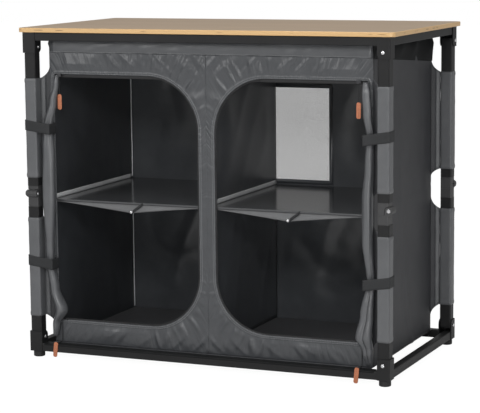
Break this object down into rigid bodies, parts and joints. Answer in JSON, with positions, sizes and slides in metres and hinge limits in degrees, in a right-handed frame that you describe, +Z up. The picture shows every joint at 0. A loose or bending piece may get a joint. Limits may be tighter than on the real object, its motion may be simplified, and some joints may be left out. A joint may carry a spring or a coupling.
{
  "type": "camping cupboard",
  "caption": "Folding camping cupboard: a square-tube frame on hinged legs, a bamboo worktop and a two-bay fabric cabinet with shelves, rolled zip doors and a mesh window.",
  "frame": {"origin": "on the ground, under the middle of the worktop", "axes": "+X to the cupboard's right as seen from its front, -Y out of its front, +Z up"},
  "size_m": [0.95, 0.5186, 0.8045],
  "materials": {
    "frame": "black powder coat, satin",
    "fitting": "black moulded nylon, matte",
    "steel": "plain steel",
    "foot": "black, matte",
    "bamboo": "bamboo ply, satin lacquer",
    "fabric": "dark grey coated polyester, slight sheen",
    "lining": "black coated lining, slight sheen",
    "webbing": "black woven webbing",
    "board": "black coated stiff board, satin",
    "net": "grey net",
    "leather": "tan leather, matte"
  },
  "bodies": {
    "base": {"base_frame": "frame", "front_right_foot": "foot", "front_left_foot": "foot", "rear_left_foot": "foot", "rear_right_foot": "foot", "floor_board": "board", "cabinet_shell": "lining", "front_panel": "fabric", "mesh_window": "net", "left_door_roll": "fabric", "right_door_roll": "fabric", "left_upper_strap": "webbing", "left_lower_strap": "webbing", "right_upper_strap": "webbing", "right_lower_strap": "webbing"},
    "top": {"top_frame": "frame", "worktop": "bamboo"},
    "shelves": {"left_shelf": "board", "right_shelf": "board"},
    "zip_tape": {"upper_zip_tape": "webbing"},
    "front_right_lower_leg": {"front_right_lower_tube": "frame", "front_right_lower_knee": "fitting", "front_right_knee_pin": "steel", "front_right_lower_sleeve": "fabric"},
    "front_right_upper_leg": {"front_right_upper_tube": "frame", "front_right_upper_knee": "fitting", "front_right_upper_sleeve": "fabric"},
    "front_right_button": {"front_right_lock_button": "fitting"},
    "front_left_lower_leg": {"front_left_lower_tube": "frame", "front_left_lower_knee": "fitting", "front_left_knee_pin": "steel", "front_left_lower_sleeve": "fabric"},
    "front_left_upper_leg": {"front_left_upper_tube": "frame", "front_left_upper_knee": "fitting", "front_left_upper_sleeve": "fabric"},
    "front_left_button": {"front_left_lock_button": "fitting"},
    "rear_left_lower_leg": {"rear_left_lower_tube": "frame", "rear_left_lower_knee": "fitting", "rear_left_knee_pin": "steel", "rear_left_lower_sleeve": "fabric"},
    "rear_left_upper_leg": {"rear_left_upper_tube": "frame", "rear_left_upper_knee": "fitting", "rear_left_upper_sleeve": "fabric"},
    "rear_left_button": {"rear_left_lock_button": "fitting"},
    "rear_right_lower_leg": {"rear_right_lower_tube": "frame", "rear_right_lower_knee": "fitting", "rear_right_knee_pin": "steel", "rear_right_lower_sleeve": "fabric"},
    "rear_right_upper_leg": {"rear_right_upper_tube": "frame", "rear_right_upper_knee": "fitting", "rear_right_upper_sleeve": "fabric"},
    "rear_right_button": {"rear_right_lock_button": "fitting"},
    "left_upper_slider": {"left_upper_zip_slider": "steel"},
    "left_upper_pull": {"left_upper_puller": "leather"},
    "right_upper_slider": {"right_upper_zip_slider": "steel"},
    "right_upper_pull": {"right_upper_puller": "leather"},
    "left_lower_slider": {"left_lower_zip_slider": "steel"},
    "left_lower_pull": {"left_lower_puller": "leather"},
    "right_lower_slider": {"right_lower_zip_slider": "steel"},
    "right_lower_pull": {"right_lower_puller": "leather"}
  },
  "joints": [
    {"name": "front_right_base_pivot", "type": "hinge", "parent": "base", "child": "front_right_lower_leg", "pos_m": [0.4475, -0.2378, 0.0495], "axis": [0, -1, 0], "range_deg": [0, 86], "deforming": ["cabinet_shell", "front_panel", "mesh_window", "left_door_roll", "right_door_roll", "left_upper_strap", "left_lower_strap", "right_upper_strap", "right_lower_strap"]},
    {"name": "front_right_knee", "type": "hinge", "parent": "front_right_lower_leg", "child": "front_right_upper_leg", "pos_m": [0.46, -0.2378, 0.40425], "axis": [0, 1, 0], "range_deg": [0, 172]},
    {"name": "front_right_button_press", "type": "slide", "parent": "front_right_lower_leg", "child": "front_right_button", "axis": [0, -1, 0], "range_m": [0, 0.003], "stiffness_N_per_m": 800},
    {"name": "front_left_base_pivot", "type": "hinge", "parent": "base", "child": "front_left_lower_leg", "pos_m": [-0.4475, -0.2378, 0.0495], "axis": [-1, 0, 0], "range_deg": [0, 86]},
    {"name": "front_left_knee", "type": "hinge", "parent": "front_left_lower_leg", "child": "front_left_upper_leg", "pos_m": [-0.4475, -0.2503, 0.40425], "axis": [1, 0, 0], "range_deg": [0, 172]},
    {"name": "front_left_button_press", "type": "slide", "parent": "front_left_lower_leg", "child": "front_left_button", "axis": [1, 0, 0], "range_m": [0, 0.003], "stiffness_N_per_m": 800},
    {"name": "rear_left_base_pivot", "type": "hinge", "parent": "base", "child": "rear_left_lower_leg", "pos_m": [-0.4475, 0.2378, 0.0495], "axis": [0, 1, 0], "range_deg": [0, 86]},
    {"name": "rear_left_knee", "type": "hinge", "parent": "rear_left_lower_leg", "child": "rear_left_upper_leg", "pos_m": [-0.46, 0.2378, 0.40425], "axis": [0, -1, 0], "range_deg": [0, 172]},
    {"name": "rear_left_button_press", "type": "slide", "parent": "rear_left_lower_leg", "child": "rear_left_button", "axis": [0, 1, 0], "range_m": [0, 0.003], "stiffness_N_per_m": 800},
    {"name": "rear_right_base_pivot", "type": "hinge", "parent": "base", "child": "rear_right_lower_leg", "pos_m": [0.4475, 0.2378, 0.0495], "axis": [1, 0, 0], "range_deg": [0, 86]},
    {"name": "rear_right_knee", "type": "hinge", "parent": "rear_right_lower_leg", "child": "rear_right_upper_leg", "pos_m": [0.4475, 0.2503, 0.40425], "axis": [-1, 0, 0], "range_deg": [0, 172]},
    {"name": "rear_right_button_press", "type": "slide", "parent": "rear_right_lower_leg", "child": "rear_right_button", "axis": [-1, 0, 0], "range_m": [0, 0.003], "stiffness_N_per_m": 800},
    {"name": "top_pivot", "type": "hinge", "parent": "front_right_upper_leg", "child": "top", "pos_m": [0.4475, -0.2378, 0.759], "axis": [0, -1, 0], "range_deg": [0, 86]},
    {"name": "shelves_drop", "type": "slide", "parent": "base", "child": "shelves", "axis": [0, 0, -1], "range_m": [0, 0.3382]},
    {"name": "zip_tape_drop", "type": "slide", "parent": "base", "child": "zip_tape", "axis": [0, 0, -1], "range_m": [0, 0.56]},
    {"name": "left_upper_zip", "type": "slide", "parent": "zip_tape", "child": "left_upper_slider", "axis": [1, 0, 0], "range_m": [0, 0.19]},
    {"name": "left_upper_puller_swing", "type": "hinge", "parent": "left_upper_slider", "child": "left_upper_pull", "pos_m": [-0.385, -0.2197, 0.6849], "axis": [-1, 0, 0], "range_deg": [0, 85]},
    {"name": "right_upper_zip", "type": "slide", "parent": "zip_tape", "child": "right_upper_slider", "axis": [-1, 0, 0], "range_m": [0, 0.19]},
    {"name": "right_upper_puller_swing", "type": "hinge", "parent": "right_upper_slider", "child": "right_upper_pull", "pos_m": [0.3785, -0.2197, 0.6849], "axis": [-1, 0, 0], "range_deg": [0, 85]},
    {"name": "left_lower_zip", "type": "slide", "parent": "base", "child": "left_lower_slider", "axis": [1, 0, 0], "range_m": [0, 0.19]},
    {"name": "left_lower_puller_swing", "type": "hinge", "parent": "left_lower_slider", "child": "left_lower_pull", "pos_m": [-0.392, -0.2197, 0.0869], "axis": [-1, 0, 0], "range_deg": [0, 85]},
    {"name": "right_lower_zip", "type": "slide", "parent": "base", "child": "right_lower_slider", "axis": [-1, 0, 0], "range_m": [0, 0.19]},
    {"name": "right_lower_puller_swing", "type": "hinge", "parent": "right_lower_slider", "child": "right_lower_pull", "pos_m": [0.3855, -0.2197, 0.0869], "axis": [-1, 0, 0], "range_deg": [0, 85]}
  ],
  "couplings": [
    {"joint": "front_right_knee", "follows": "front_right_base_pivot", "ratio": 2},
    {"joint": "front_left_base_pivot", "follows": "front_right_base_pivot", "ratio": 1},
    {"joint": "front_left_knee", "follows": "front_right_base_pivot", "ratio": 2},
    {"joint": "rear_left_base_pivot", "follows": "front_right_base_pivot", "ratio": 1},
    {"joint": "rear_left_knee", "follows": "front_right_base_pivot", "ratio": 2},
    {"joint": "rear_right_base_pivot", "follows": "front_right_base_pivot", "ratio": 1},
    {"joint": "rear_right_knee", "follows": "front_right_base_pivot", "ratio": 2},
    {"joint": "top_pivot", "follows": "front_right_base_pivot", "ratio": 1},
    {"joint": "shelves_drop", "follows": "front_right_base_pivot", "m_per_rad": 0.2252},
    {"joint": "zip_tape_drop", "follows": "front_right_base_pivot", "m_per_rad": 0.373}
  ]
}
